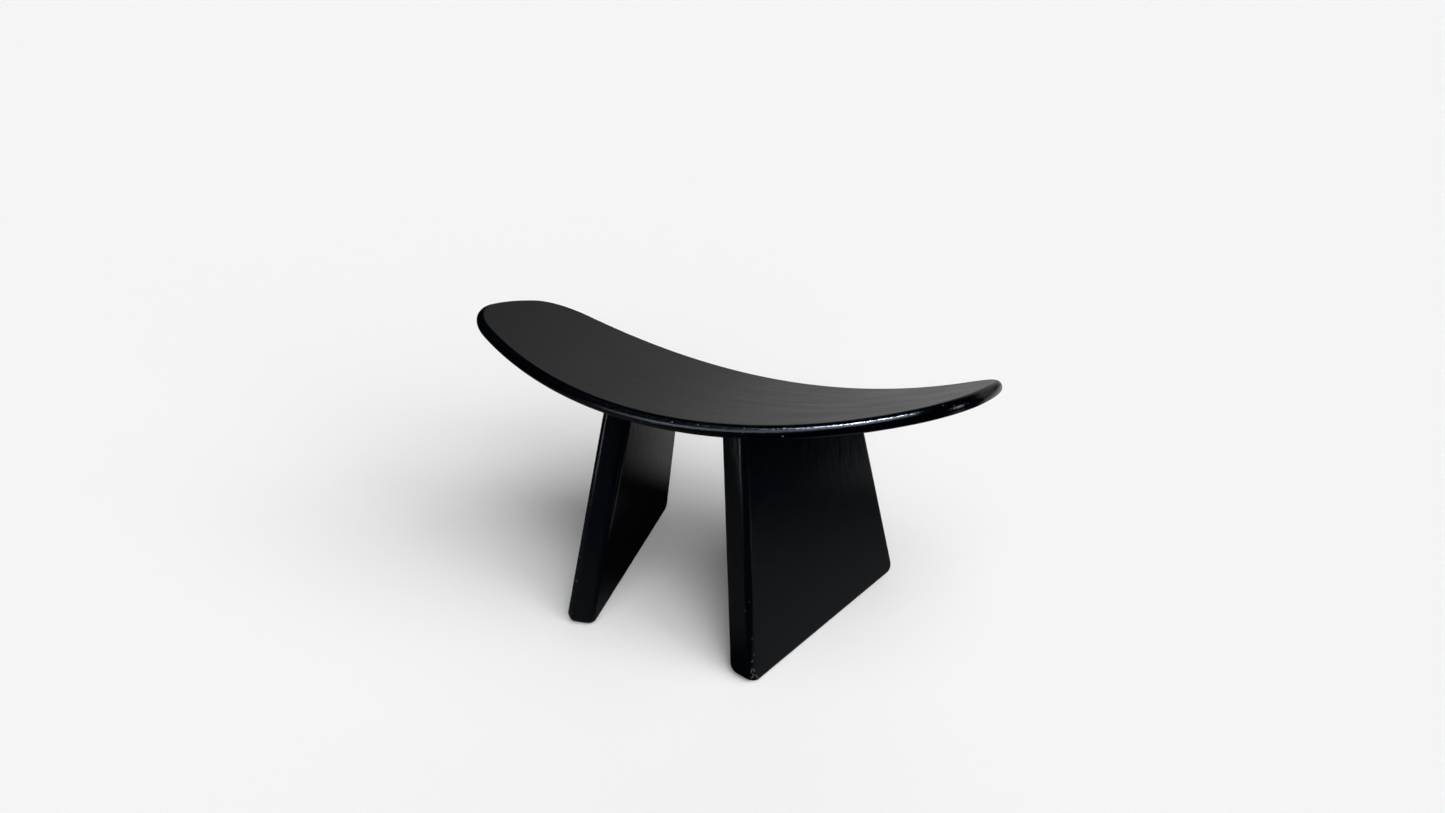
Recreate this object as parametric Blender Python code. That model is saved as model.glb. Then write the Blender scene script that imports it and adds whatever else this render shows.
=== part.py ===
"""Kneeling bench: a bent, boat-shaped seat board on two splayed slab legs.

Metres, +Z up, floor at Z = 0. X runs along the seat. Y runs across it, from the high rear edge
(-Y), where the feet come out, to the low front edge (+Y), where the knees go. The two halves
mirror each other about X = 0. Six hidden dowels pin the legs' upper ends to the seat.
"""

import math

import bmesh
import bpy
from mathutils import Matrix, Vector

# Seat board: a 12 mm board of two arcs and rounded corners, bent along its length.
SEAT_DEVELOPED_LENGTH = 0.535
SEAT_WIDTH = 0.260
SEAT_THICKNESS = 0.012
SEAT_BEND_RADIUS = 0.610  # of the concave top face
SEAT_SIDE_ARC_RADIUS = 0.635  # plan curve of the two long edges
SEAT_END_ARC_RADIUS = 0.275  # plan curve of the two short edges
SEAT_CORNER_RADIUS = 0.068
SEAT_NOSE_DEPTH = 0.0065  # how far in from the rim the round edge starts
SEAT_TILT = math.radians(13.5)  # rear edge up
SEAT_CENTRE = Vector((0.0, 0.003, 0.211))  # in the middle of the board's thickness
SEAT_SIDE_STEPS = 26
SEAT_CORNER_STEPS = 9
SEAT_END_STEPS = 5
SEAT_NOSE_STEPS = 8

# Legs: 28 mm slabs, wider at the foot than at the seat.
LEG_THICKNESS = 0.028
LEG_FOOT_LENGTH = 0.247
LEG_REAR_LEAN = math.radians(9.3)  # how far the rear edge leans in
LEG_FRONT_LEAN = math.radians(8.9)
LEG_SPLAY = math.radians(10.0)  # the foot stands out from the seat
LEG_TOE_OUT = math.radians(12.5)  # the legs stand wider apart at the front
LEG_REAR_FOOT = Vector((0.0895, -0.130, 0.0))  # right leg, mid thickness, on the floor
LEG_ARRIS_RADIUS = 0.0065
LEG_FOOT_RADIUS = 0.005  # the arrises round the underside of the foot
LEG_CORNER_RADIUS = 0.010  # the foot's two lower corners
LEG_REAR_CORNER_EASE = 0.0025  # the arrises are this much rounder at the rear one
LEG_TOP_RADIUS = 0.0070
LEG_BLANK_HEIGHT = 0.265  # before the top is cut to the seat
LEG_ARRIS_STEPS = 6
LEG_CORNER_STEPS = 6
LEG_TOP_STEPS = 1

# Dowels: three in each leg's top edge, square to that edge.
DOWEL_RADIUS = 0.005
DOWEL_IN_SEAT = 0.008
DOWEL_IN_LEG = 0.028
DOWEL_CHAMFER = 0.001
DOWEL_STEPS = 28
DOWEL_SPACING = 0.060
DOWEL_NAMES = ("rear", "middle", "front")

FIT_GAP = 0.0003
HOUSING_STEPS = 120
SMOOTH_ANGLE = math.radians(32.0)

BLACK_LACQUER = (0.012, 0.012, 0.014, 1.0)
BEECH = (0.62, 0.43, 0.26, 1.0)


def clear_scene():
    for item in list(bpy.data.objects):
        bpy.data.objects.remove(item, do_unlink=True)


def make_material(name, colour, roughness, coat):
    material = bpy.data.materials.new(name)
    material.use_nodes = True
    shader = material.node_tree.nodes["Principled BSDF"]
    shader.inputs["Base Color"].default_value = colour
    shader.inputs["Roughness"].default_value = roughness
    shader.inputs["Coat Weight"].default_value = coat
    material.diffuse_color = colour
    return material


def add_object(name, mesh_data, material=None):
    """An object from a bmesh, with outward normals and smooth round faces."""
    bmesh.ops.recalc_face_normals(mesh_data, faces=mesh_data.faces)
    mesh = bpy.data.meshes.new(name)
    mesh_data.to_mesh(mesh)
    mesh_data.free()
    mesh.shade_smooth()
    mesh.set_sharp_from_angle(angle=SMOOTH_ANGLE)
    if material:
        mesh.materials.append(material)
    item = bpy.data.objects.new(name, mesh)
    bpy.context.scene.collection.objects.link(item)
    return item


def add_cutter(name, mesh_data):
    cutter = add_object(name, mesh_data)
    cutter.hide_render = True
    cutter.display_type = "WIRE"
    return cutter


def cut(item, cutter):
    modifier = item.modifiers.new(cutter.name, "BOOLEAN")
    modifier.operation = "DIFFERENCE"
    modifier.solver = "EXACT"
    modifier.object = cutter


def bridge(mesh_data, ring_a, ring_b):
    """Quads between two closed rings of the same length."""
    count = len(ring_a)
    for i in range(count):
        j = (i + 1) % count
        mesh_data.faces.new((ring_a[i], ring_a[j], ring_b[j], ring_b[i]))


# ---- seat board ----


def arc_points(centre, radius, start, end, steps):
    """Points from start to just before end, angles in radians."""
    points = []
    for i in range(steps):
        angle = start + (end - start) * i / steps
        direction = Vector((math.cos(angle), math.sin(angle)))
        points.append((centre + radius * direction, direction))
    return points


def seat_quarter():
    """(point, outward normal) from the end's middle round to the long edge's middle."""
    end_centre = Vector((SEAT_DEVELOPED_LENGTH / 2 - SEAT_END_ARC_RADIUS, 0.0))
    side_centre = Vector((0.0, SEAT_WIDTH / 2 - SEAT_SIDE_ARC_RADIUS))
    # The corner arc touches both larger arcs from inside.
    to_end = SEAT_END_ARC_RADIUS - SEAT_CORNER_RADIUS
    to_side = SEAT_SIDE_ARC_RADIUS - SEAT_CORNER_RADIUS
    span = end_centre - side_centre
    along = (to_side**2 - to_end**2 + span.length_squared) / (2 * span.length)
    across = math.sqrt(to_side**2 - along**2)
    unit = span.normalized()
    corner_centre = side_centre + along * unit + across * Vector((unit.y, -unit.x))
    end_turn = math.atan2(corner_centre.y - end_centre.y, corner_centre.x - end_centre.x)
    side_turn = math.atan2(corner_centre.y - side_centre.y, corner_centre.x - side_centre.x)
    quarter = arc_points(end_centre, SEAT_END_ARC_RADIUS, 0.0, end_turn, SEAT_END_STEPS)
    quarter += arc_points(
        corner_centre, SEAT_CORNER_RADIUS, end_turn, side_turn, SEAT_CORNER_STEPS
    )
    quarter += arc_points(
        side_centre, SEAT_SIDE_ARC_RADIUS, side_turn, math.pi / 2, SEAT_SIDE_STEPS
    )
    return quarter


def seat_outline():
    """The whole outline of the flat board, anticlockwise from the middle of the +X end."""
    first = seat_quarter()
    top = (Vector((0.0, SEAT_WIDTH / 2)), Vector((0.0, 1.0)))
    half = first + [top]
    half += [(Vector((-p.x, p.y)), Vector((-n.x, n.y))) for p, n in reversed(first)]
    back = [(Vector((p.x, -p.y)), Vector((n.x, -n.y))) for p, n in reversed(half[1:-1])]
    return half + back


def seat_transform():
    """From the seat's own frame, centred in the board's thickness, to the world."""
    return Matrix.Translation(SEAT_CENTRE) @ Matrix.Rotation(-SEAT_TILT, 4, "X")


def bend(along, across, height):
    """A point of the flat board, carried onto the bent one."""
    middle_radius = SEAT_BEND_RADIUS + SEAT_THICKNESS / 2
    angle = along / middle_radius
    radius = middle_radius - height
    return Vector(
        (radius * math.sin(angle), across, middle_radius - radius * math.cos(angle))
    )


def close_face(mesh_data, ring):
    """Strips across the board, so that each one lies flat in the bend."""
    count = len(ring)
    for i in range(count // 2):
        corners = [ring[i], ring[i + 1], ring[count - i - 1], ring[-i]]
        mesh_data.faces.new(dict.fromkeys(corners))


def make_seat(material):
    outline = seat_outline()
    place = seat_transform()
    mesh_data = bmesh.new()
    rings = []
    for step in range(SEAT_NOSE_STEPS + 1):
        turn = math.pi * (step / SEAT_NOSE_STEPS - 0.5)
        inset = SEAT_NOSE_DEPTH * (1 - math.cos(turn))
        height = SEAT_THICKNESS / 2 * math.sin(turn)
        ring = []
        for point, normal in outline:
            flat = point - inset * normal
            ring.append(mesh_data.verts.new(place @ bend(flat.x, flat.y, height)))
        rings.append(ring)
    for lower, upper in zip(rings, rings[1:]):
        bridge(mesh_data, lower, upper)
    close_face(mesh_data, rings[0])
    close_face(mesh_data, rings[-1])
    return add_object("seat_board", mesh_data, material)


def make_seat_clearance():
    """A full cylinder on the bend's axis: all that lies above the seat's underside."""
    radius = SEAT_BEND_RADIUS + SEAT_THICKNESS + FIT_GAP
    centre_height = SEAT_BEND_RADIUS + SEAT_THICKNESS / 2
    mesh_data = bmesh.new()
    rings = []
    for side in (-SEAT_WIDTH, SEAT_WIDTH):
        ring = []
        for i in range(HOUSING_STEPS * 4):
            angle = math.tau * (i + 0.5) / (HOUSING_STEPS * 4)
            point = Vector((radius * math.sin(angle), side, centre_height - radius * math.cos(angle)))
            ring.append(mesh_data.verts.new(seat_transform() @ point))
        rings.append(ring)
    bridge(mesh_data, rings[0], rings[1])
    for ring in rings:
        mesh_data.faces.new(ring)
    return add_cutter("cut_seat_underside", mesh_data)


def depth_below_seat(point):
    """How far a world point lies outside the seat's underside; negative is inside it."""
    local = seat_transform().inverted() @ point
    rise = SEAT_BEND_RADIUS + SEAT_THICKNESS / 2 - local.z
    return math.hypot(local.x, rise) - (SEAT_BEND_RADIUS + SEAT_THICKNESS)


def seat_normal(point):
    """Unit vector from a point under the seat straight into the board."""
    local = seat_transform().inverted() @ point
    inward = Vector((-local.x, 0.0, SEAT_BEND_RADIUS + SEAT_THICKNESS / 2 - local.z))
    return (seat_transform().to_3x3() @ inward).normalized()


# ---- legs ----


def leg_axes(side):
    """Unit vectors of a leg: forward along the floor, up in the slab, out through its face."""
    forward = Vector((side * math.sin(LEG_TOE_OUT), math.cos(LEG_TOE_OUT), 0.0))
    outward = Vector((side * math.cos(LEG_TOE_OUT), -math.sin(LEG_TOE_OUT), 0.0))
    vertical = Vector((0.0, 0.0, 1.0))
    up = math.cos(LEG_SPLAY) * vertical - math.sin(LEG_SPLAY) * outward
    face = math.cos(LEG_SPLAY) * outward + math.sin(LEG_SPLAY) * vertical
    return forward, up, face


def leg_foot(side):
    return Vector((side * LEG_REAR_FOOT.x, LEG_REAR_FOOT.y, 0.0))


def corner_lines(plane_a, plane_b, radius, steps, fuller=0.0):
    """Rounded edge between two planes: (point, run, outward normal, arris radius) per step.

    A plane is (point on it, outward unit normal, radius of its arrises). Each point lies that
    far inside the surface, and `run` is the direction through the slab's thickness. Halfway round
    the corner the arrises are `fuller` by that much.
    """
    (point_a, normal_a, arris_a), (point_b, normal_b, arris_b) = plane_a, plane_b
    run = normal_a.cross(normal_b).normalized()
    rows = Matrix((normal_a, normal_b, run))
    target = Vector(
        (normal_a.dot(point_a) - radius, normal_b.dot(point_b) - radius, run.dot(point_a))
    )
    axis_point = rows.inverted() @ target
    lines = []
    for i in range(steps + 1):
        normal = normal_a.slerp(normal_b, i / steps)
        arris = arris_a + (arris_b - arris_a) * i / steps + fuller * math.sin(math.pi * i / steps)
        lines.append((axis_point + (radius - arris) * normal, run, normal, arris))
    return lines


def leg_edge_lines(side):
    """All the lines that run through the slab's thickness, in order round its outline."""
    forward, up, _ = leg_axes(side)
    foot = leg_foot(side)
    vertical = Vector((0.0, 0.0, 1.0))
    rear_normal = -math.cos(LEG_REAR_LEAN) * forward + math.sin(LEG_REAR_LEAN) * up
    front_normal = math.cos(LEG_FRONT_LEAN) * forward + math.sin(LEG_FRONT_LEAN) * up
    rear = (foot, rear_normal, LEG_ARRIS_RADIUS)
    front = (foot + LEG_FOOT_LENGTH * forward, front_normal, LEG_ARRIS_RADIUS)
    floor = (foot, -vertical, LEG_FOOT_RADIUS)
    top = (foot + LEG_BLANK_HEIGHT * vertical, vertical, LEG_ARRIS_RADIUS)
    corners = (
        (rear, floor, LEG_CORNER_RADIUS, LEG_CORNER_STEPS, LEG_REAR_CORNER_EASE),
        (floor, front, LEG_CORNER_RADIUS, LEG_CORNER_STEPS),
        (front, top, LEG_TOP_RADIUS, LEG_TOP_STEPS),
        (top, rear, LEG_TOP_RADIUS, LEG_TOP_STEPS),
    )
    lines = []
    for corner in corners:
        lines += corner_lines(*corner)
    return lines


def make_leg(side, name, material):
    """A slab with every arris rounded. Its rings run from the outer face to the inner one."""
    _, _, face = leg_axes(side)
    foot = leg_foot(side)
    lines = leg_edge_lines(side)
    mesh_data = bmesh.new()
    rings = []
    turns = [step / LEG_ARRIS_STEPS for step in range(LEG_ARRIS_STEPS + 1)]
    for half in (1, -1):
        for turn in turns[::half]:
            ring = []
            for point, run, normal, arris in lines:
                level = half * (LEG_THICKNESS / 2 - arris)
                reach = (level - face.dot(point - foot)) / face.dot(run)
                direction = (half * face).slerp(normal, turn)
                ring.append(mesh_data.verts.new(point + reach * run + arris * direction))
            rings.append(ring)
    for outer, inner in zip(rings, rings[1:]):
        bridge(mesh_data, outer, inner)
    mesh_data.faces.new(rings[0])
    mesh_data.faces.new(rings[-1])
    return add_object(name, mesh_data, material)


# ---- dowels ----


def joint_point(side, along):
    """Where the slab's middle plane meets the seat, `along` the floor from the joint's centre."""
    forward, up, _ = leg_axes(side)
    start = leg_foot(side) + (LEG_FOOT_LENGTH / 2 + along) * forward
    low, high = 0.0, LEG_BLANK_HEIGHT
    for _ in range(40):
        middle = (low + high) / 2
        if depth_below_seat(start + middle * up) > 0:
            low = middle
        else:
            high = middle
    return start + low * up


def dowel_axis(side, point):
    """The direction in the slab's plane that comes closest to square with the seat."""
    _, _, face = leg_axes(side)
    inward = seat_normal(point)
    return (inward - inward.dot(face) * face).normalized()


def dowel_mesh(point, axis, below, above, radius, chamfer):
    mesh_data = bmesh.new()
    turn = Vector((0.0, 0.0, 1.0)).rotation_difference(axis).to_matrix()
    profile = [
        (-below, radius - chamfer),
        (-below + chamfer, radius),
        (above - chamfer, radius),
        (above, radius - chamfer),
    ]
    rings = []
    for height, ring_radius in profile if chamfer else (profile[0], profile[-1]):
        ring = []
        for i in range(DOWEL_STEPS):
            angle = math.tau * i / DOWEL_STEPS
            local = Vector((ring_radius * math.cos(angle), ring_radius * math.sin(angle), height))
            ring.append(mesh_data.verts.new(point + turn @ local))
        rings.append(ring)
    for lower, upper in zip(rings, rings[1:]):
        bridge(mesh_data, lower, upper)
    mesh_data.faces.new(rings[0])
    mesh_data.faces.new(rings[-1])
    return mesh_data


def make_dowels(side, side_name, seat, leg):
    """Three dowels, with their blind holes in the leg and in the seat's underside."""
    for index, place_name in enumerate(DOWEL_NAMES):
        point = joint_point(side, (index - 1) * DOWEL_SPACING)
        axis = dowel_axis(side, point)
        name = f"dowel_{side_name}_{place_name}"
        body = dowel_mesh(
            point, axis, DOWEL_IN_LEG, DOWEL_IN_SEAT, DOWEL_RADIUS, DOWEL_CHAMFER
        )
        add_object(name, body, make_material(f"{name}_beech", BEECH, 0.6, 0.0))
        hole = dowel_mesh(
            point,
            axis,
            DOWEL_IN_LEG + FIT_GAP,
            DOWEL_IN_SEAT + FIT_GAP,
            DOWEL_RADIUS + FIT_GAP,
            0.0,
        )
        cutter = add_cutter(f"cut_{name}", hole)
        cut(leg, cutter)
        cut(seat, cutter)


def build():
    clear_scene()
    seat = make_seat(make_material("seat_board_black_lacquer", BLACK_LACQUER, 0.32, 0.4))
    seat_clearance = make_seat_clearance()
    for side, side_name in ((-1, "left"), (1, "right")):
        name = f"leg_{side_name}"
        lacquer = make_material(f"{name}_black_lacquer", BLACK_LACQUER, 0.35, 0.4)
        leg = make_leg(side, name, lacquer)
        cut(leg, seat_clearance)
        make_dowels(side, side_name, seat, leg)


build()
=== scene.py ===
"""Kneeling bench: the look of a black lacquered wooden bench on a pale studio floor.

Metres, +Z up, floor at Z = 0, the same frame as the CAD. The seat and both legs are remade here
as finer meshes of the same shape; the hidden dowels are the CAD's own.
"""

import math
import random

import bmesh
import bpy
from mathutils import Matrix, Vector, noise


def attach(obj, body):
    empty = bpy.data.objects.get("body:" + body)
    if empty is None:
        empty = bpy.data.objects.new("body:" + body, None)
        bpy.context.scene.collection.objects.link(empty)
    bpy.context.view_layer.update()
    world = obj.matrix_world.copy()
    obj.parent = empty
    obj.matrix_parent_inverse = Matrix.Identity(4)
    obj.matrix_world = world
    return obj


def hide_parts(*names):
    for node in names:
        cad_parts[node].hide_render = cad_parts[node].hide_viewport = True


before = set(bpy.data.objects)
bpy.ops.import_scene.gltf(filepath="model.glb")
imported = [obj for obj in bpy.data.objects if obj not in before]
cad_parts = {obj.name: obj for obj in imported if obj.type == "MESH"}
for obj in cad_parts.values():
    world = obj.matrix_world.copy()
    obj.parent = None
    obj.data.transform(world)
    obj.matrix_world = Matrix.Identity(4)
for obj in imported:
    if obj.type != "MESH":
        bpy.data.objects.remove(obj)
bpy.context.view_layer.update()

SEED = 7

# Seat board: a 12 mm board of two arcs and rounded corners, bent along its length.
SEAT_DEVELOPED_LENGTH = 0.535
SEAT_WIDTH = 0.260
SEAT_THICKNESS = 0.012
SEAT_BEND_RADIUS = 0.610
SEAT_SIDE_ARC_RADIUS = 0.635
SEAT_END_ARC_RADIUS = 0.275
SEAT_CORNER_RADIUS = 0.068
SEAT_NOSE_DEPTH = 0.0065
SEAT_TILT = math.radians(13.5)
SEAT_CENTRE = Vector((0.0, 0.003, 0.211))
SEAT_SIDE_STEPS = 150
SEAT_CORNER_STEPS = 48
SEAT_END_STEPS = 30
SEAT_TOP_ROWS = 120
SEAT_UNDERSIDE_ROWS = 30
SEAT_EDGE_CLEARANCE = 0.00025  # keeps the outline inside the CAD's
# The near top edge is hand-eased: a long soft arc, then the round edge itself.
SEAT_EASE_TURN = 20.0
SEAT_EASE_RADIUS = 0.008
SEAT_UNDER_DEPTH = (0.0056, 0.0042)  # the edge's lower half, at the -X end and at the +X end
# Degrees from the top's normal at which the round edge has a ring, from the underside up.
NOSE_LOWER_STEPS = 12
NOSE_UPPER_STEPS = 14
NOSE_TOP_TURNS = [17.0, 14.0, 11.0, 8.5, 6.0, 4.0, 2.0, 0.0]
NOSE_TURNS = (
    [180.0 - 90.0 * i / NOSE_LOWER_STEPS for i in range(NOSE_LOWER_STEPS)]
    + [90.0 - (90.0 - SEAT_EASE_TURN) * i / NOSE_UPPER_STEPS for i in range(NOSE_UPPER_STEPS + 1)]
    + NOSE_TOP_TURNS
)
# The same angles switch the colour from the top's lighter black to the round edge's darker, bluer
# painted shade.
GLOSS_START = 1.5  # the board turns from satin to glossy between these angles
GLOSS_FULL = 10.0

# Wear on the seat: shallow dents in the top and nicks along the rear of its round edge.
SEAT_DENT_COUNT = 5
SEAT_DENT_RADIUS = (0.0030, 0.0042)
SEAT_DENT_DEPTH = (0.00015, 0.00030)
SEAT_DENT_SPREAD = (0.40, 0.08)  # how far they lie from the middle, as shares of the length
SEAT_DENT_WEAR = 0.5
SEAT_CHIP_COUNT = 11
SEAT_CHIP_RADIUS = (0.0012, 0.0020)
SEAT_CHIP_DEPTH = (0.00015, 0.00030)
SEAT_CHIP_TURNS = (45.0, 125.0)  # where the nicks sit on the round edge, degrees from the top
SEAT_REAR_FACING = -0.5  # the outline faces the rear where its normal's Y is below this
SEAT_EDGE_WEAR = 0.04
# More light specks on the round edge's lower half: wear, and painted light along the lower arris.
SEAT_UNDER_EDGE_WEAR_AND_LIGHT = 0.15
SEAT_SWELL = 0.00010  # depth of the top's long shallow waves
SEAT_SWELL_WAVES = (9.0, 26.0)  # waves per metre along and across the board
SEAT_SWELL_SLICE = 3.7
SEAT_SWELL_FADE = 12.0  # the swell dies away over this fraction (1 / 12) of the width
SEAT_RIPPLE = 0.00003  # depth of the round edge's small ripple
SEAT_RIPPLE_WAVES = 330.0

# Legs: 28 mm slabs, wider at the foot than at the seat.
LEG_THICKNESS = 0.028
LEG_FOOT_LENGTH = 0.247
LEG_REAR_LEAN = math.radians(9.3)
LEG_FRONT_LEAN = math.radians(8.9)
LEG_SPLAY = math.radians(10.0)
LEG_TOE_OUT = math.radians(12.5)
LEG_REAR_FOOT = Vector((0.0895, -0.130, 0.0))
LEG_ARRIS_RADIUS = 0.0065
LEG_FOOT_RADIUS = 0.005
LEG_CORNER_RADIUS = 0.010
LEG_REAR_CORNER_EASE = 0.0025  # the arrises are this much rounder at the rear foot corner
LEG_TOP_RADIUS = 0.0070
LEG_BLANK_HEIGHT = 0.265
LEG_ARRIS_STEPS = 14
LEG_CORNER_STEPS = 16
LEG_TOP_STEPS = 2
LEG_EDGE_SPACING = 0.0010
LEG_CLEARANCE = 0.0001  # keeps the finer corners inside the CAD's
LEG_CHIP_COUNTS = {-1: 8, 1: 26}  # the right leg's foot is the more worn
LEG_CHIP_RADIUS = (0.0013, 0.0024)
LEG_CHIP_DEPTH = (0.00012, 0.00028)
LEG_CHIP_LOWEST = 0.004
LEG_CHIP_BAND = 0.034  # height of the chipped band above the floor
LEG_CHIP_REACH = 0.02  # how far forward of the foot's rear end the chips go
LEG_CHIP_ON_ARRIS = 0.3  # chips keep to the arris's middle: 0 at its borders, 1 at its crest
LEG_HIGH_CHIP_COUNT = 3
LEG_WEAR_TOP = 0.085  # no chips above this height
LEG_EDGE_WEAR = 0.03
# Near the floor every arris gets more light specks: wear at the feet, and painted light along the
# lower arrises.
LEG_FOOT_WEAR_AND_LIGHT = 0.34  # added to the edge's wear at the floor
LEG_FOOT_WEAR_AND_LIGHT_BAND = 0.05  # height at which that has died away
# Flat strips inside the arris: they keep the face's shading flat and carry its wear.
LEG_FACE_STRIPS = (0.0006, 0.0010, 0.0010, 0.0012, 0.0012, 0.0014)

# The cylinder that cuts the legs' tops to the seat's underside.
FIT_GAP = 0.0003
CUTTER_STEPS = 360
SMOOTH_ANGLE = math.radians(32.0)

# Camera.
CAMERA_PLACE = Vector((0.409961, -0.772720, 0.601818))
CAMERA_YAW = -0.481978
CAMERA_PITCH = 0.425951
CAMERA_ROLL = 0.006645
CAMERA_LENS = 24.661
CAMERA_SENSOR = 36.0
CAMERA_FARTHEST = 200.0

# Studio. Azimuths are in degrees from +X towards +Y, so the camera stands at about -62.
FLOOR_HALF_SIZE = 60.0
FLOOR_ALBEDO = 0.8
FLOOR_TONE = 0.862  # radiance of the open floor
HORIZON_TONE = 1.05 * FLOOR_TONE  # what the camera sees beyond the floor
SUNS = (
    # name, azimuth, elevation, share of the floor's light, width in degrees
    ("window_low", -40, 16, 1.10, 60),
    ("window_right", 0, 35, 0.24, 35),
    ("window_high", -60, 50, 0.30, 40),
    ("window_far", 15, 50, 0.18, 40),
    ("ceiling", -30, 72, 0.20, 40),
    ("backdrop_fill", 110, 15, 0.15, 50),
)
NEUTRAL = (1.0, 1.0, 1.0)
DAYLIGHT = (0.80, 0.95, 1.15)
WORLD_BASE = 0.003
WORLD_LOBES = (
    # azimuth, elevation, full within, gone beyond (degrees), radiance, tint
    (104, 10, 18, 26, 0.155, NEUTRAL),  # backdrop behind the bench
    (66, 8, 9, 22, 0.15, NEUTRAL),  # and to the right of that
    (-119, 70.5, 1.0, 4.0, 230.0, DAYLIGHT),  # lamp over the camera
    (-94, 57, 2, 8, 8.0, DAYLIGHT),  # bright strip below it
    (-92, 43, 7, 16, 2.6, DAYLIGHT),  # and its tail, down to the horizon
    (-106, 20, 7, 17, 1.8, DAYLIGHT),
    (-116, 5, 6, 11, 2.8, DAYLIGHT),
    (2, 11, 4, 10, 4.0, NEUTRAL),  # opening on the right
)
CARD_SPACING = 0.001  # the cards lie under the floor, each a little below the last
CARDS = (
    # name, azimuth, near and far end, sideways, half width, fade at the near end, at the far
    # end and at the sides (metres), radiance
    ("card_behind", 107, 0.22, 5.0, 0.05, 0.85, 0.29, 3.80, 0.30, 0.20),
    ("card_far", 96, 0.60, 1.50, -0.17, 0.30, 0.30, 0.45, 0.18, 0.11),
    ("card_between", 90, 0.14, 0.75, 0.205, 0.15, 0.09, 0.30, 0.05, 0.14),
    ("card_tip", 68, 0.40, 1.70, 0.00, 0.40, 0.12, 0.50, 0.15, 0.20),
    ("card_right_leg", 40, 0.00, 0.75, -0.11, 0.25, 0.03, 0.72, 0.12, 0.130),
    ("card_near", -95, 0.02, 2.20, -0.335, 0.415, 0.11, 0.50, 0.11, 0.025),
    ("card_left", -138, 0.08, 0.90, 0.00, 0.28, 0.10, 0.55, 0.12, 0.055),
    ("card_camera", -122, 1.15, 3.00, 0.00, 0.30, 0.20, 0.60, 0.15, 2.2),
    ("card_right", 10, 0.45, 1.10, -0.07, 0.10, 0.10, 0.30, 0.06, 0.35),
)


# ---- meshes ----


def add_object(name, mesh_data, material):
    """Turns mesh data into an object of the scene, shaded smooth except at true edges."""
    bmesh.ops.recalc_face_normals(mesh_data, faces=mesh_data.faces)
    mesh = bpy.data.meshes.new(name)
    mesh_data.to_mesh(mesh)
    mesh_data.free()
    mesh.shade_smooth()
    mesh.set_sharp_from_angle(angle=SMOOTH_ANGLE)
    mesh.materials.append(material)
    item = bpy.data.objects.new(name, mesh)
    bpy.context.scene.collection.objects.link(item)
    return item


def bridge(mesh_data, ring_a, ring_b):
    """A band of faces between two rings with the same number of corners."""
    count = len(ring_a)
    for i in range(count):
        j = (i + 1) % count
        mesh_data.faces.new((ring_a[i], ring_a[j], ring_b[j], ring_b[i]))


def arc_points(centre, radius, start, end, steps):
    """(point, outward normal) along an arc; its end is left to the next arc."""
    points = []
    for i in range(steps):
        angle = start + (end - start) * i / steps
        direction = Vector((math.cos(angle), math.sin(angle)))
        points.append((centre + radius * direction, direction))
    return points


def seat_quarter():
    """(point, outward normal) from the end's middle round to the long edge's middle."""
    end_centre = Vector((SEAT_DEVELOPED_LENGTH / 2 - SEAT_END_ARC_RADIUS, 0.0))
    side_centre = Vector((0.0, SEAT_WIDTH / 2 - SEAT_SIDE_ARC_RADIUS))
    to_end = SEAT_END_ARC_RADIUS - SEAT_CORNER_RADIUS
    to_side = SEAT_SIDE_ARC_RADIUS - SEAT_CORNER_RADIUS
    span = end_centre - side_centre
    along = (to_side**2 - to_end**2 + span.length_squared) / (2 * span.length)
    across = math.sqrt(to_side**2 - along**2)
    unit = span.normalized()
    corner_centre = side_centre + along * unit + across * Vector((unit.y, -unit.x))
    end_turn = math.atan2(corner_centre.y - end_centre.y, corner_centre.x - end_centre.x)
    side_turn = math.atan2(corner_centre.y - side_centre.y, corner_centre.x - side_centre.x)
    quarter = arc_points(end_centre, SEAT_END_ARC_RADIUS, 0.0, end_turn, SEAT_END_STEPS)
    quarter += arc_points(
        corner_centre, SEAT_CORNER_RADIUS, end_turn, side_turn, SEAT_CORNER_STEPS
    )
    quarter += arc_points(
        side_centre, SEAT_SIDE_ARC_RADIUS, side_turn, math.pi / 2, SEAT_SIDE_STEPS
    )
    return quarter


def seat_outline():
    """The whole outline of the flat board, anticlockwise from the middle of the +X end."""
    first = seat_quarter()
    top = (Vector((0.0, SEAT_WIDTH / 2)), Vector((0.0, 1.0)))
    half = first + [top]
    half += [(Vector((-p.x, p.y)), Vector((-n.x, n.y))) for p, n in reversed(first)]
    back = [(Vector((p.x, -p.y)), Vector((n.x, -n.y))) for p, n in reversed(half[1:-1])]
    return half + back


def seat_transform():
    """Carries the bent board to its place: tilted, above the floor."""
    return Matrix.Translation(SEAT_CENTRE) @ Matrix.Rotation(-SEAT_TILT, 4, "X")


def bend(along, across, height):
    """A point of the flat board, carried onto the bent one."""
    middle_radius = SEAT_BEND_RADIUS + SEAT_THICKNESS / 2
    angle = along / middle_radius
    radius = middle_radius - height
    return Vector(
        (radius * math.sin(angle), across, middle_radius - radius * math.cos(angle))
    )


def spot_shape(point, spots):
    """(depth, strength) of the worn spots at a point."""
    depth = strength = 0.0
    for x, y, z, radius, deep in spots:
        reach = (point - Vector((x, y, z))).length / radius
        if reach < 1.0:
            fall = (1 - reach**2) ** 2
            depth = max(depth, deep * fall)
            strength = max(strength, fall)
    return depth, strength


def seat_dents(place):
    """Shallow dents at random places on the top."""
    draw = random.Random(SEED)
    dents = []
    for _ in range(SEAT_DENT_COUNT):
        along, across = (
            draw.uniform(-1, 1) * share * SEAT_DEVELOPED_LENGTH for share in SEAT_DENT_SPREAD
        )
        spot = place @ bend(along, across, SEAT_THICKNESS / 2)
        dents.append((*spot, draw.uniform(*SEAT_DENT_RADIUS), draw.uniform(*SEAT_DENT_DEPTH)))
    return dents


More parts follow.
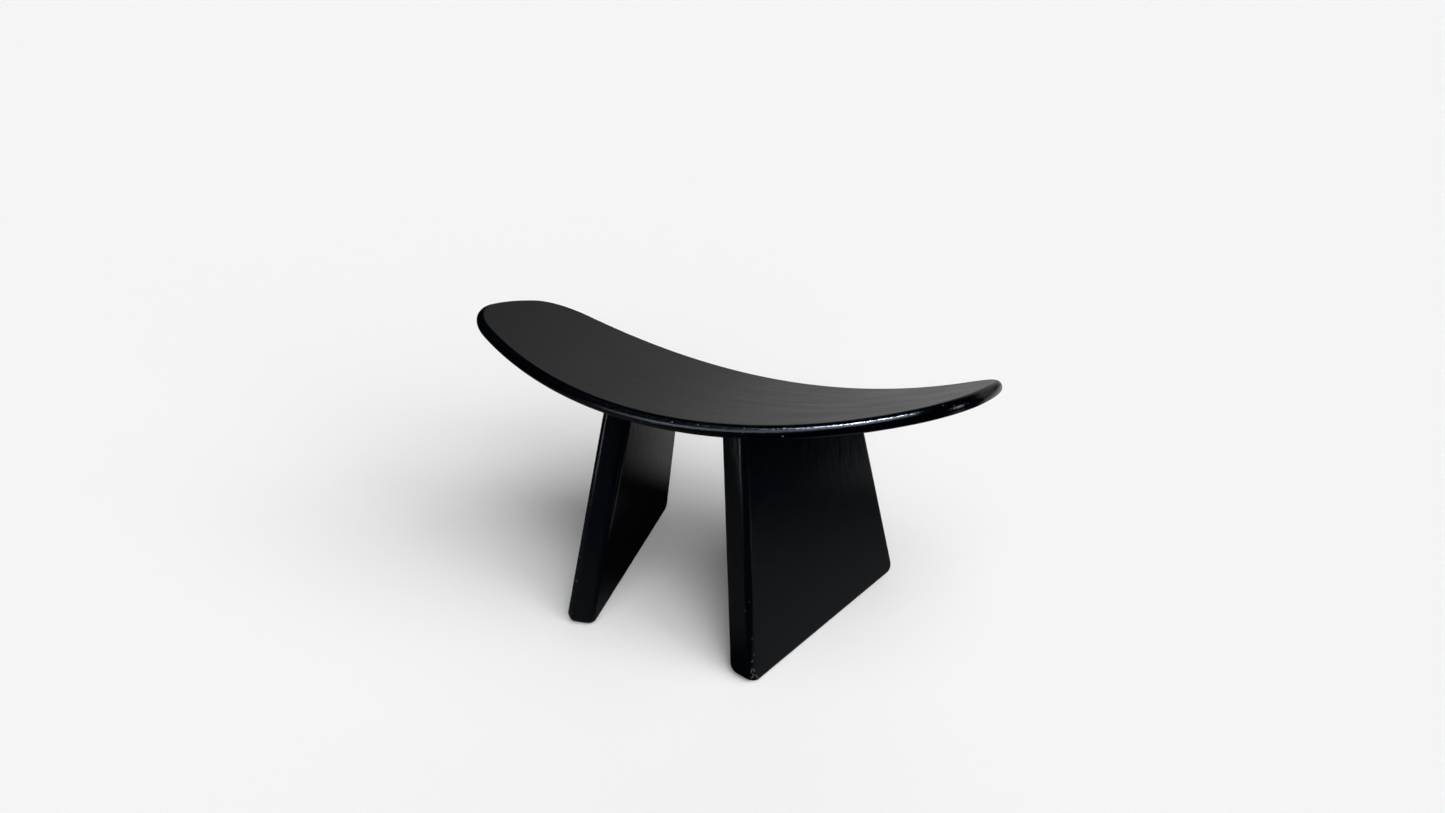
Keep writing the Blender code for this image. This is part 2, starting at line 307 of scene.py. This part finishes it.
def seat_chips(outline, place):
    """Nicks at random places along the rear of the round edge."""
    draw = random.Random(SEED + 2)
    rear = [pair for pair in outline if pair[1].y < SEAT_REAR_FACING]
    chips = []
    for _ in range(SEAT_CHIP_COUNT):
        point, normal = draw.choice(rear)
        turn = math.radians(draw.uniform(*SEAT_CHIP_TURNS))
        inset, height = edge_section(turn, 1.0, SEAT_UNDER_DEPTH[0])
        flat = point - inset * normal
        spot = place @ bend(flat.x, flat.y, height)
        chips.append((*spot, draw.uniform(*SEAT_CHIP_RADIUS), draw.uniform(*SEAT_CHIP_DEPTH)))
    return chips


def swell(flat):
    """Depth of the shallow waves that hand sanding leaves on the top."""
    waves_along, waves_across = SEAT_SWELL_WAVES
    wave = noise.noise(Vector((waves_along * flat.x, waves_across * flat.y, SEAT_SWELL_SLICE)))
    return SEAT_SWELL * 0.5 * (1 + wave)


def grid_face(mesh_data, ring, flats, height, rows, place, dents=()):
    """Fills a ring with columns across the board; a face with dents also gets the swell."""
    wear_and_light = mesh_data.verts.layers.float["wear_and_light"]
    count = len(ring)
    half = count // 2
    down = place.to_3x3() @ Vector((0.0, 0.0, -1.0))
    columns = [[ring[0]] * (rows + 1)]
    for i in range(1, half):
        far, near = ring[i], ring[count - i]
        a, b = flats[i], flats[count - i]
        column = [far]
        for j in range(1, rows):
            flat = a.lerp(b, j / rows)
            point = place @ bend(flat.x, flat.y, height)
            vertex = mesh_data.verts.new(point)
            if dents:
                edge_fall = min(1.0, SEAT_SWELL_FADE * j / rows, SEAT_SWELL_FADE * (rows - j) / rows)
                depth, strength = spot_shape(point, dents)
                vertex.co += (depth + edge_fall * swell(flat)) * down
                vertex[wear_and_light] = SEAT_DENT_WEAR * strength
            column.append(vertex)
        column.append(near)
        columns.append(column)
    columns.append([ring[half]] * (rows + 1))
    for left, right in zip(columns, columns[1:]):
        for j in range(rows):
            corners = (left[j], left[j + 1], right[j + 1], right[j])
            mesh_data.faces.new(dict.fromkeys(corners))


def edge_section(turn, ease, under_depth):
    """(inset, height) of the round edge where its normal has turned this far from the top's."""
    half = SEAT_THICKNESS / 2
    depth = SEAT_NOSE_DEPTH if turn <= math.pi / 2 else under_depth
    angle = math.atan2(half * math.cos(turn), depth * math.sin(turn))
    inset, height = depth * (1 - math.cos(angle)), half * math.sin(angle)
    if turn > math.pi / 2:
        return inset, height
    soft = math.radians(SEAT_EASE_TURN)
    fallen = SEAT_EASE_RADIUS * (1 - math.cos(soft))
    radius = (half - fallen) / math.cos(soft)
    if turn > soft:
        eased_inset = radius * (1 - math.sin(turn))
        eased_height = half - fallen - radius * (math.cos(soft) - math.cos(turn))
    else:
        eased_inset = radius * (1 - math.sin(soft))
        eased_inset += SEAT_EASE_RADIUS * (math.sin(soft) - math.sin(turn))
        eased_height = half - SEAT_EASE_RADIUS * (1 - math.cos(turn))
    return inset + ease * (eased_inset - inset), height + ease * (eased_height - height)


def make_seat(material):
    """Rings round the edge from the underside to the top, and a grid over each face."""
    outline = seat_outline()
    place = seat_transform()
    chips = seat_chips(outline, place)
    mesh_data = bmesh.new()
    polish_and_edge_shade = mesh_data.verts.layers.float.new("polish_and_edge_shade")
    wear_and_light = mesh_data.verts.layers.float.new("wear_and_light")
    half = SEAT_THICKNESS / 2
    rings = []
    flats = []
    for degrees in NOSE_TURNS:
        turn = math.radians(degrees)
        from_face = min(degrees, 180.0 - degrees)
        gloss = min(1.0, max(0.0, (from_face - GLOSS_START) / (GLOSS_FULL - GLOSS_START)))
        flat, ring = [], []
        for point, normal in outline:
            ease = 0.5 - 0.5 * normal.y
            side = 0.5 + point.x / SEAT_DEVELOPED_LENGTH
            depth = SEAT_UNDER_DEPTH[0] + side * (SEAT_UNDER_DEPTH[1] - SEAT_UNDER_DEPTH[0])
            inset, height = edge_section(turn, ease, depth)
            flat_point = point - (inset + SEAT_EDGE_CLEARANCE) * normal
            solid = place @ bend(flat_point.x, flat_point.y, height)
            core = point - SEAT_THICKNESS / 2 * normal
            inward = (place @ bend(core.x, core.y, 0.0) - solid).normalized()
            depth, strength = spot_shape(solid, chips)
            depth += gloss * SEAT_RIPPLE * (1 + noise.noise(SEAT_RIPPLE_WAVES * solid))
            vertex = mesh_data.verts.new(solid + depth * inward)
            # Gloss, and the switch to the round edge's painted darker, bluer shade.
            vertex[polish_and_edge_shade] = gloss
            # The edge's lower half gets more specks: wear, and painted light along the lower arris.
            low = gloss * max(0.0, -height / half)
            vertex[wear_and_light] = max(strength, SEAT_EDGE_WEAR * gloss, SEAT_UNDER_EDGE_WEAR_AND_LIGHT * low)
            flat.append(flat_point)
            ring.append(vertex)
        flats.append(flat)
        rings.append(ring)
    for lower, upper in zip(rings, rings[1:]):
        bridge(mesh_data, lower, upper)
    grid_face(mesh_data, rings[0], flats[0], -half, SEAT_UNDERSIDE_ROWS, place)
    grid_face(mesh_data, rings[-1], flats[-1], half, SEAT_TOP_ROWS, place, seat_dents(place))
    item = add_object("seat_board_lacquered", mesh_data, material)
    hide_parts("seat_board")
    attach(item, "root")
    return item


def make_seat_clearance():
    """A full cylinder on the bend's axis: all that lies above the seat's underside."""
    radius = SEAT_BEND_RADIUS + SEAT_THICKNESS + FIT_GAP
    centre_height = SEAT_BEND_RADIUS + SEAT_THICKNESS / 2
    mesh_data = bmesh.new()
    rings = []
    for side in (-SEAT_WIDTH, SEAT_WIDTH):
        ring = []
        for i in range(CUTTER_STEPS):
            angle = math.tau * (i + 0.5) / CUTTER_STEPS
            height = centre_height - radius * math.cos(angle)
            point = Vector((radius * math.sin(angle), side, height))
            ring.append(mesh_data.verts.new(seat_transform() @ point))
        rings.append(ring)
    bridge(mesh_data, rings[0], rings[1])
    for ring in rings:
        mesh_data.faces.new(ring)
    bmesh.ops.recalc_face_normals(mesh_data, faces=mesh_data.faces)
    mesh = bpy.data.meshes.new("seat_clearance")
    mesh_data.to_mesh(mesh)
    mesh_data.free()
    item = bpy.data.objects.new("seat_clearance", mesh)
    bpy.context.scene.collection.objects.link(item)
    return item


def leg_axes(side):
    """Unit vectors of a leg: forward along the floor, up in the slab, out through its face."""
    forward = Vector((side * math.sin(LEG_TOE_OUT), math.cos(LEG_TOE_OUT), 0.0))
    outward = Vector((side * math.cos(LEG_TOE_OUT), -math.sin(LEG_TOE_OUT), 0.0))
    vertical = Vector((0.0, 0.0, 1.0))
    up = math.cos(LEG_SPLAY) * vertical - math.sin(LEG_SPLAY) * outward
    face = math.cos(LEG_SPLAY) * outward + math.sin(LEG_SPLAY) * vertical
    return forward, up, face


def leg_foot(side):
    """The rear lower corner of a leg's middle plane."""
    return Vector((side * LEG_REAR_FOOT.x, LEG_REAR_FOOT.y, 0.0))


def corner_lines(plane_a, plane_b, radius, steps, fuller=0.0):
    """Rounded edge between two planes: (point, run, outward normal, arris radius) per step."""
    (point_a, normal_a, arris_a), (point_b, normal_b, arris_b) = plane_a, plane_b
    run = normal_a.cross(normal_b).normalized()
    rows = Matrix((normal_a, normal_b, run))
    target = Vector(
        (normal_a.dot(point_a) - radius, normal_b.dot(point_b) - radius, run.dot(point_a))
    )
    axis_point = rows.inverted() @ target
    lines = []
    for i in range(steps + 1):
        normal = normal_a.slerp(normal_b, i / steps)
        arris = arris_a + (arris_b - arris_a) * i / steps
        arris += fuller * math.sin(math.pi * i / steps)
        lines.append((axis_point + (radius - arris) * normal, run, normal, arris))
    return lines


def between(line_a, line_b, spacing):
    """Lines strictly between two lines on the same plane."""
    (point_a, run_a, normal_a, arris_a), (point_b, run_b, normal_b, arris_b) = line_a, line_b
    steps = max(1, round((point_b - point_a).length / spacing))
    lines = []
    for i in range(1, steps):
        t = i / steps
        lines.append(
            (
                point_a.lerp(point_b, t),
                run_a.lerp(run_b, t).normalized(),
                normal_a.lerp(normal_b, t).normalized(),
                arris_a + (arris_b - arris_a) * t,
            )
        )
    return lines


def leg_edge_lines(side):
    """All the lines that run through the slab's thickness, in order round its outline."""
    forward, up, _ = leg_axes(side)
    foot = leg_foot(side)
    vertical = Vector((0.0, 0.0, 1.0))
    rear_normal = -math.cos(LEG_REAR_LEAN) * forward + math.sin(LEG_REAR_LEAN) * up
    front_normal = math.cos(LEG_FRONT_LEAN) * forward + math.sin(LEG_FRONT_LEAN) * up
    rear = (foot - LEG_CLEARANCE * rear_normal, rear_normal, LEG_ARRIS_RADIUS)
    front_foot = foot + LEG_FOOT_LENGTH * forward
    front = (front_foot - LEG_CLEARANCE * front_normal, front_normal, LEG_ARRIS_RADIUS)
    floor = (foot, -vertical, LEG_FOOT_RADIUS)
    top = (foot + LEG_BLANK_HEIGHT * vertical, vertical, LEG_ARRIS_RADIUS)
    corners = (
        (rear, floor, LEG_CORNER_RADIUS, LEG_CORNER_STEPS, LEG_REAR_CORNER_EASE),
        (floor, front, LEG_CORNER_RADIUS, LEG_CORNER_STEPS),
        (front, top, LEG_TOP_RADIUS, LEG_TOP_STEPS),
        (top, rear, LEG_TOP_RADIUS, LEG_TOP_STEPS),
    )
    groups = [corner_lines(*corner) for corner in corners]
    lines = []
    for group, following in zip(groups, groups[1:] + groups[:1]):
        lines += group + between(group[-1], following[0], LEG_EDGE_SPACING)
    return lines


def leg_chips(side, places):
    """Chips in the lacquer at random places on the outer rear arris, most of them low down."""
    draw = random.Random(SEED + side)
    forward, _, face = leg_axes(side)
    foot = leg_foot(side)
    outer = [place for place in places if face.dot(place - foot) > 0]
    rear = [place for place in outer if forward.dot(place - foot) < LEG_CHIP_REACH]
    low = [place for place in rear if LEG_CHIP_LOWEST < place.z < LEG_CHIP_BAND]
    high = [place for place in rear if LEG_CHIP_BAND < place.z < LEG_WEAR_TOP]
    picks = []
    for _ in range(LEG_CHIP_COUNTS[side]):
        picks.append(min(draw.sample(low, 2), key=lambda place: place.z))
    picks += draw.sample(high, LEG_HIGH_CHIP_COUNT)
    chips = []
    for pick in picks:
        chips.append((*pick, draw.uniform(*LEG_CHIP_RADIUS), draw.uniform(*LEG_CHIP_DEPTH)))
    return chips


def make_leg(side, name, material):
    """A slab with every arris rounded. Its rings run from the outer face to the inner one."""
    _, _, face = leg_axes(side)
    foot = leg_foot(side)
    lines = leg_edge_lines(side)
    turns = [step / LEG_ARRIS_STEPS for step in range(LEG_ARRIS_STEPS + 1)]
    layout = []
    for half in (1, -1):
        for turn in turns[::half]:
            ring = []
            for point, run, normal, arris in lines:
                level = half * (LEG_THICKNESS / 2 - arris)
                reach = (level - face.dot(point - foot)) / face.dot(run)
                direction = (half * face).slerp(normal, turn)
                ring.append((point + reach * run + arris * direction, direction))
            layout.append((math.sin(math.pi * turn), ring))
    places = []
    for on_arris, ring in layout:
        if on_arris > LEG_CHIP_ON_ARRIS:
            places += [point for point, _ in ring]
    chips = leg_chips(side, places)
    mesh_data = bmesh.new()
    wear_and_light = mesh_data.verts.layers.float.new("wear_and_light")
    rings = []
    for on_arris, layout_ring in layout:
        ring = []
        for point, direction in layout_ring:
            depth = strength = 0.0
            if point.z < LEG_WEAR_TOP:
                depth, strength = spot_shape(point, chips)
            vertex = mesh_data.verts.new(point - depth * direction)
            # More specks near the floor: foot wear, and painted light along the lower arrises.
            low = max(0.0, 1 - point.z / LEG_FOOT_WEAR_AND_LIGHT_BAND)
            vertex[wear_and_light] = max(strength, on_arris * (LEG_EDGE_WEAR + LEG_FOOT_WEAR_AND_LIGHT * low**2))
            ring.append(vertex)
        rings.append(ring)
    for outer, inner in zip(rings, rings[1:]):
        bridge(mesh_data, outer, inner)
    for ring in (rings[0], rings[-1]):
        centre = sum((v.co for v in ring), Vector()) / len(ring)
        for width in LEG_FACE_STRIPS:
            border = []
            for vertex in ring:
                point = vertex.co + width * (centre - vertex.co).normalized()
                inner = mesh_data.verts.new(point)
                if width != LEG_FACE_STRIPS[-1] and point.z < LEG_WEAR_TOP:
                    inner[wear_and_light] = spot_shape(point, chips)[1]
                border.append(inner)
            bridge(mesh_data, ring, border)
            ring = border
        mesh_data.faces.new(ring)
    return add_object(f"{name}_lacquered", mesh_data, material)


def trim(item, cutter):
    """Cuts a piece with another and keeps the result as its mesh."""
    modifier = item.modifiers.new("trim", "BOOLEAN")
    modifier.operation = "DIFFERENCE"
    modifier.solver = "EXACT"
    modifier.object = cutter
    graph = bpy.context.evaluated_depsgraph_get()
    mesh = bpy.data.meshes.new_from_object(item.evaluated_get(graph))
    item.modifiers.clear()
    item.data = mesh
    mesh.shade_smooth()
    mesh.set_sharp_from_angle(angle=SMOOTH_ANGLE)


# ---- materials ----

PLAIN = (1.0, 1.0, 1.0)  # texture space that isn't stretched
# Light specks: fineness, how much the mesh's wear and painted light add to them, and where they
# begin and are complete.
SPECK_SCALE = 1300.0
SPECK_WEAR_AND_LIGHT_SHARE = 0.34
SPECK_RANGE = (0.76, 0.84)
# Seat specks: bare wood, and painted light where they gather on the round edge's lower half.
BARE_WOOD_AND_LIGHT = (0.16, 0.15, 0.135, 1.0)
# Leg specks: wear in the lacquer, and near the floor painted light along the arrises.
LEG_SPECK_WEAR_AND_LIGHT = (0.060, 0.057, 0.052, 1.0)
BARE_ROUGHNESS = 0.6
# Pairs of colours that the grain or a slow cloud mixes.
# The seat's two blacks are one lacquer: the top's is painted lighter and greener, and the round
# edge's is painted darker and bluer as painted shade.
SEAT_LIT_TOP_BLACKS = ((0.0012, 0.0015, 0.0013, 1.0), (0.0022, 0.0026, 0.0023, 1.0))
SEAT_SHADED_EDGE_BLACKS = ((0.0001, 0.0002, 0.0006, 1.0), (0.0002, 0.0004, 0.0012, 1.0))
LEG_BLACKS = ((0.0002, 0.0005, 0.0011, 1.0), (0.0004, 0.0008, 0.0017, 1.0))
BEECH = ((0.66, 0.46, 0.28, 1.0), (0.50, 0.32, 0.18, 1.0))


class Nodes:
    """Short calls for building a material's nodes."""

    def __init__(self, name):
        self.material = bpy.data.materials.new(name)
        self.material.use_nodes = True
        self.tree = self.material.node_tree
        self.shader = self.tree.nodes["Principled BSDF"]

    def add(self, kind, **settings):
        node = self.tree.nodes.new(kind)
        for key, value in settings.items():
            setattr(node, key, value)
        return node

    def link(self, source, target):
        self.tree.links.new(source, target)

    def coordinates(self, scale, turn=(0.0, 0.0, 0.0)):
        source = self.add("ShaderNodeTexCoord")
        mapping = self.add("ShaderNodeMapping")
        mapping.inputs["Scale"].default_value = scale
        mapping.inputs["Rotation"].default_value = turn
        self.link(source.outputs["Object"], mapping.inputs["Vector"])
        return mapping.outputs["Vector"]

    def noise(self, vector, scale, detail, rough):
        node = self.add("ShaderNodeTexNoise")
        node.inputs["Scale"].default_value = scale
        node.inputs["Detail"].default_value = detail
        node.inputs["Roughness"].default_value = rough
        self.link(vector, node.inputs["Vector"])
        return node.outputs["Fac"]

    def spread(self, value, low, high, new_low, new_high, shape="LINEAR"):
        node = self.add("ShaderNodeMapRange", interpolation_type=shape)
        node.inputs["From Min"].default_value = low
        node.inputs["From Max"].default_value = high
        node.inputs["To Min"].default_value = new_low
        node.inputs["To Max"].default_value = new_high
        self.link(value, node.inputs["Value"])
        return node.outputs["Result"]

    def maths(self, operation, first, second):
        node = self.add("ShaderNodeMath", operation=operation)
        for socket, value in zip(node.inputs, (first, second)):
            if isinstance(value, (int, float)):
                socket.default_value = value
            else:
                self.link(value, socket)
        return node.outputs["Value"]

    def mix_colour(self, factor, first, second):
        node = self.add("ShaderNodeMix", data_type="RGBA")
        self.link(factor, node.inputs[0])
        for socket, value in ((node.inputs[6], first), (node.inputs[7], second)):
            if isinstance(value, tuple):
                socket.default_value = value
            else:
                self.link(value, socket)
        return node.outputs[2]

    def specks(self):
        """Small light spots: wear, and painted light along lower edges; the mesh's attribute of wear
        and painted light says how many a place has.
        """
        wear_and_light = self.add("ShaderNodeAttribute", attribute_name="wear_and_light").outputs["Fac"]
        fine = self.noise(self.coordinates(PLAIN), SPECK_SCALE, 2.0, 0.6)
        total = self.maths("ADD", fine, self.maths("MULTIPLY", wear_and_light, SPECK_WEAR_AND_LIGHT_SHARE))
        return self.spread(total, *SPECK_RANGE, 0.0, 1.0)

    def mix_value(self, factor, first, second):
        node = self.add("ShaderNodeMix", data_type="FLOAT")
        sockets = (node.inputs[0], node.inputs[2], node.inputs[3])
        for socket, value in zip(sockets, (factor, first, second)):
            if isinstance(value, (int, float)):
                socket.default_value = value
            else:
                self.link(value, socket)
        return node.outputs[0]

    def bump(self, height, strength, distance, before=None):
        node = self.add("ShaderNodeBump")
        node.inputs["Strength"].default_value = strength
        node.inputs["Distance"].default_value = distance
        self.link(height, node.inputs["Height"])
        if before is not None:
            self.link(before, node.inputs["Normal"])
        return node.outputs["Normal"]


def seat_material():
    """Satin black over grain that runs along the board; the round edge is glossy, and its colour is
    painted darker and bluer than the top's as painted shade.
    """
    n = Nodes("seat_black_lacquer")
    grain = n.noise(n.coordinates((3.0, 90.0, 90.0)), 3.0, 6.0, 0.6)
    streaks = n.noise(n.coordinates((4.0, 70.0, 70.0)), 1.0, 4.0, 0.6)
    pores = n.noise(n.coordinates((14.0, 420.0, 420.0)), 2.0, 3.0, 0.5)
    cloud = n.noise(n.coordinates(PLAIN), 9.0, 3.0, 0.5)
    peel = n.noise(n.coordinates(PLAIN), 420.0, 2.0, 0.5)
    polish_and_edge_shade = n.add("ShaderNodeAttribute", attribute_name="polish_and_edge_shade").outputs["Fac"]
    lit_top_colour = n.mix_colour(n.spread(grain, 0.35, 0.65, 0.0, 1.0), *SEAT_LIT_TOP_BLACKS)
    shaded_edge_colour = n.mix_colour(n.spread(cloud, 0.35, 0.65, 0.0, 1.0), *SEAT_SHADED_EDGE_BLACKS)
    specks = n.specks()
    # Painted shade: the round edge takes the darker, bluer black, and the top takes the lighter,
    # greener one.
    lacquer = n.mix_colour(polish_and_edge_shade, lit_top_colour, shaded_edge_colour)
    n.link(n.mix_colour(specks, lacquer, BARE_WOOD_AND_LIGHT), n.shader.inputs["Base Color"])
    unevenness = n.spread(cloud, 0.3, 0.7, -0.02, 0.02)
    satin = n.maths("ADD", n.spread(streaks, 0.3, 0.7, 0.20, 0.25), unevenness)
    gloss = n.spread(cloud, 0.3, 0.7, 0.13, 0.18)
    rough = n.mix_value(specks, n.mix_value(polish_and_edge_shade, satin, gloss), BARE_ROUGHNESS)
    n.link(rough, n.shader.inputs["Roughness"])
    ripple = n.noise(n.coordinates(PLAIN), 300.0, 3.0, 0.6)
    normal = n.bump(grain, 0.25, 0.0006)
    normal = n.bump(pores, 0.15, 0.0003, normal)
    normal = n.bump(peel, 0.10, 0.0004, normal)
    normal = n.bump(streaks, 0.17, 0.0006, normal)
    normal = n.bump(n.maths("MULTIPLY", ripple, polish_and_edge_shade), 0.4, 0.0004, normal)
    normal = n.bump(n.maths("MULTIPLY", specks, -1.0), 0.4, 0.0002, normal)
    n.link(normal, n.shader.inputs["Normal"])
    return n.material


def leg_material(name, side):
    """The same black over upright grain, turned to lie along the slab; the light specks at the foot
    are wear, and also painted light along the lower arrises.
    """
    n = Nodes(name)
    turn = (0.0, side * LEG_SPLAY, side * -LEG_TOE_OUT)
    grain = n.noise(n.coordinates((90.0, 90.0, 3.0), turn), 3.0, 6.0, 0.6)
    pores = n.noise(n.coordinates((420.0, 420.0, 14.0), turn), 2.0, 3.0, 0.5)
    peel = n.noise(n.coordinates(PLAIN), 420.0, 2.0, 0.5)
    colour = n.mix_colour(n.spread(grain, 0.35, 0.65, 0.0, 1.0), *LEG_BLACKS)
    specks = n.specks()
    n.link(n.mix_colour(specks, colour, LEG_SPECK_WEAR_AND_LIGHT), n.shader.inputs["Base Color"])
    rough = n.mix_value(specks, n.spread(grain, 0.3, 0.7, 0.15, 0.21), BARE_ROUGHNESS)
    n.link(rough, n.shader.inputs["Roughness"])
    streaks = n.noise(n.coordinates((60.0, 60.0, 4.0), turn), 3.0, 3.0, 0.6)
    normal = n.bump(grain, 0.30, 0.0006)
    normal = n.bump(streaks, 0.25, 0.0008, normal)
    normal = n.bump(pores, 0.15, 0.0003, normal)
    normal = n.bump(peel, 0.08, 0.0004, normal)
    n.link(normal, n.shader.inputs["Normal"])
    return n.material


def dowel_material():
    """Bare beech with upright fibres."""
    n = Nodes("dowel_beech")
    fibres = n.noise(n.coordinates((260.0, 260.0, 12.0)), 2.0, 5.0, 0.6)
    colour = n.mix_colour(n.spread(fibres, 0.3, 0.7, 0.0, 1.0), *BEECH)
    n.link(colour, n.shader.inputs["Base Color"])
    n.link(n.spread(fibres, 0.3, 0.7, 0.55, 0.72), n.shader.inputs["Roughness"])
    n.link(n.bump(fibres, 0.3, 0.0004), n.shader.inputs["Normal"])
    return n.material


def floor_material():
    """Plain matt white."""
    n = Nodes("studio_floor")
    n.shader.inputs["Base Color"].default_value = (FLOOR_ALBEDO, FLOOR_ALBEDO, FLOOR_ALBEDO, 1.0)
    n.shader.inputs["Roughness"].default_value = 1.0
    n.shader.inputs["Specular IOR Level"].default_value = 0.0
    return n.material


# ---- studio ----


def make_floor():
    """The pale floor. Polished surfaces mirror the cards instead."""
    mesh_data = bmesh.new()
    bmesh.ops.create_grid(mesh_data, x_segments=4, y_segments=4, size=FLOOR_HALF_SIZE)
    item = add_object("studio_floor", mesh_data, floor_material())
    item.visible_glossy = False


def card_material(name, near, far, sideways, half_width, near_fade, far_fade, side_fade, radiance):
    """Plain light that fades out towards the card's edges."""
    n = Nodes(name)
    n.tree.nodes.remove(n.shader)
    emission = n.add("ShaderNodeEmission")
    together = n.add("ShaderNodeAddShader")
    n.link(emission.outputs[0], together.inputs[0])
    n.link(n.add("ShaderNodeBsdfTransparent").outputs[0], together.inputs[1])
    n.link(together.outputs[0], n.tree.nodes["Material Output"].inputs[0])
    split = n.add("ShaderNodeSeparateXYZ")
    n.link(n.add("ShaderNodeTexCoord").outputs["Object"], split.inputs[0])
    along = split.outputs[0]
    across = n.maths("ABSOLUTE", n.maths("SUBTRACT", split.outputs[1], sideways), 0.0)
    strength = n.spread(along, near, near + near_fade, 0.0, radiance, "SMOOTHSTEP")
    for value, end, fade in ((along, far, far_fade), (across, half_width, side_fade)):
        strength = n.maths(
            "MULTIPLY", strength, n.spread(value, end - fade, end, 1.0, 0.0, "SMOOTHSTEP")
        )
    n.link(strength, emission.inputs["Strength"])
    return n.material


def make_cards():
    """Lit patches of floor as the polished surfaces mirror them; nothing else sees them."""
    for index, (name, azimuth, *shape) in enumerate(CARDS):
        near, far, sideways, half_width = shape[:4]
        mesh_data = bmesh.new()
        low, high = sideways - half_width, sideways + half_width
        corners = ((near, low), (far, low), (far, high), (near, high))
        mesh_data.faces.new([mesh_data.verts.new((x, y, 0.0)) for x, y in corners])
        item = add_object(name, mesh_data, card_material(name, *shape))
        item.rotation_euler.z = math.radians(azimuth)
        item.location.z = -CARD_SPACING * (index + 1)
        item.visible_camera = False
        item.visible_diffuse = False
        item.visible_shadow = False


def make_world():
    """What polished surfaces mirror: lobes of light in a dark room. The camera sees it pale."""
    world = bpy.data.worlds.new("studio_world")
    bpy.context.scene.world = world
    world.use_nodes = True
    world.cycles_visibility.diffuse = False
    tree = world.node_tree
    background = tree.nodes["Background"]
    direction = tree.nodes.new("ShaderNodeTexCoord").outputs["Generated"]
    total = None
    for azimuth, elevation, inner, outer, radiance, tint in WORLD_LOBES:
        dot = tree.nodes.new("ShaderNodeVectorMath")
        dot.operation = "DOT_PRODUCT"
        tree.links.new(direction, dot.inputs[0])
        dot.inputs[1].default_value = sky_direction(azimuth, elevation)
        lobe = tree.nodes.new("ShaderNodeMapRange")
        lobe.interpolation_type = "SMOOTHSTEP"
        lobe.inputs["From Min"].default_value = math.cos(math.radians(outer))
        lobe.inputs["From Max"].default_value = math.cos(math.radians(inner))
        lobe.inputs["To Max"].default_value = radiance
        tree.links.new(dot.outputs["Value"], lobe.inputs["Value"])
        # tint * lobe + what has been added up so far
        step = tree.nodes.new("ShaderNodeVectorMath")
        step.operation = "MULTIPLY_ADD"
        tree.links.new(lobe.outputs["Result"], step.inputs[0])
        step.inputs[1].default_value = tint
        step.inputs[2].default_value = (WORLD_BASE,) * 3
        if total is not None:
            tree.links.new(total, step.inputs[2])
        total = step.outputs["Vector"]
    mix = tree.nodes.new("ShaderNodeMix")
    mix.data_type = "RGBA"
    path = tree.nodes.new("ShaderNodeLightPath")
    tree.links.new(path.outputs["Is Camera Ray"], mix.inputs[0])
    tree.links.new(total, mix.inputs[6])
    mix.inputs[7].default_value = (HORIZON_TONE, HORIZON_TONE, HORIZON_TONE, 1.0)
    tree.links.new(mix.outputs[2], background.inputs["Color"])


def sky_direction(azimuth, elevation):
    """Unit vector towards a place in the sky; angles in degrees."""
    a, e = math.radians(azimuth), math.radians(elevation)
    return Vector((math.cos(a) * math.cos(e), math.sin(a) * math.cos(e), math.sin(e)))


def add_suns():
    """Wide, soft suns for the floor's shading. Polished surfaces don't mirror them."""
    for name, azimuth, elevation, share, angle in SUNS:
        data = bpy.data.lights.new(name, "SUN")
        data.energy = share * FLOOR_TONE * math.pi / FLOOR_ALBEDO
        data.angle = math.radians(angle)
        item = bpy.data.objects.new(name, data)
        item.rotation_euler = sky_direction(azimuth, elevation).to_track_quat("Z", "Y").to_euler()
        item.visible_glossy = False
        bpy.context.scene.collection.objects.link(item)


def make_camera():
    """A level camera turned by yaw, pitched down, then rolled a little."""
    data = bpy.data.cameras.new("camera")
    data.lens = CAMERA_LENS
    data.sensor_width = CAMERA_SENSOR
    data.sensor_fit = "HORIZONTAL"
    data.clip_end = CAMERA_FARTHEST
    item = bpy.data.objects.new("camera", data)
    bpy.context.scene.collection.objects.link(item)
    yaw, pitch, roll = CAMERA_YAW, CAMERA_PITCH, CAMERA_ROLL
    ahead = Vector(
        (math.sin(yaw) * math.cos(pitch), math.cos(yaw) * math.cos(pitch), -math.sin(pitch))
    )
    right = Vector((math.cos(yaw), -math.sin(yaw), 0.0))
    down = ahead.cross(right)
    tilted_right = right * math.cos(roll) + down * math.sin(roll)
    tilted_down = -right * math.sin(roll) + down * math.cos(roll)
    turn = Matrix((tilted_right, -tilted_down, -ahead)).transposed()
    item.matrix_world = Matrix.Translation(CAMERA_PLACE) @ turn.to_4x4()
    bpy.context.scene.camera = item


def build():
    """Makes everything, camera first."""
    make_camera()
    make_seat(seat_material())
    cutter = make_seat_clearance()
    for side, side_name in ((-1, "left"), (1, "right")):
        material = leg_material(f"leg_{side_name}_black_lacquer", side)
        leg = make_leg(side, f"leg_{side_name}", material)
        trim(leg, cutter)
        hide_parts(f"leg_{side_name}")
        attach(leg, "root")
    bpy.data.objects.remove(cutter, do_unlink=True)
    beech = dowel_material()
    for name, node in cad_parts.items():
        if name.startswith("dowel"):
            for slot in node.material_slots:
                slot.link = "OBJECT"
                slot.material = beech
    make_floor()
    make_cards()
    make_world()
    add_suns()
    bpy.context.scene.view_settings.view_transform = "Standard"


build()
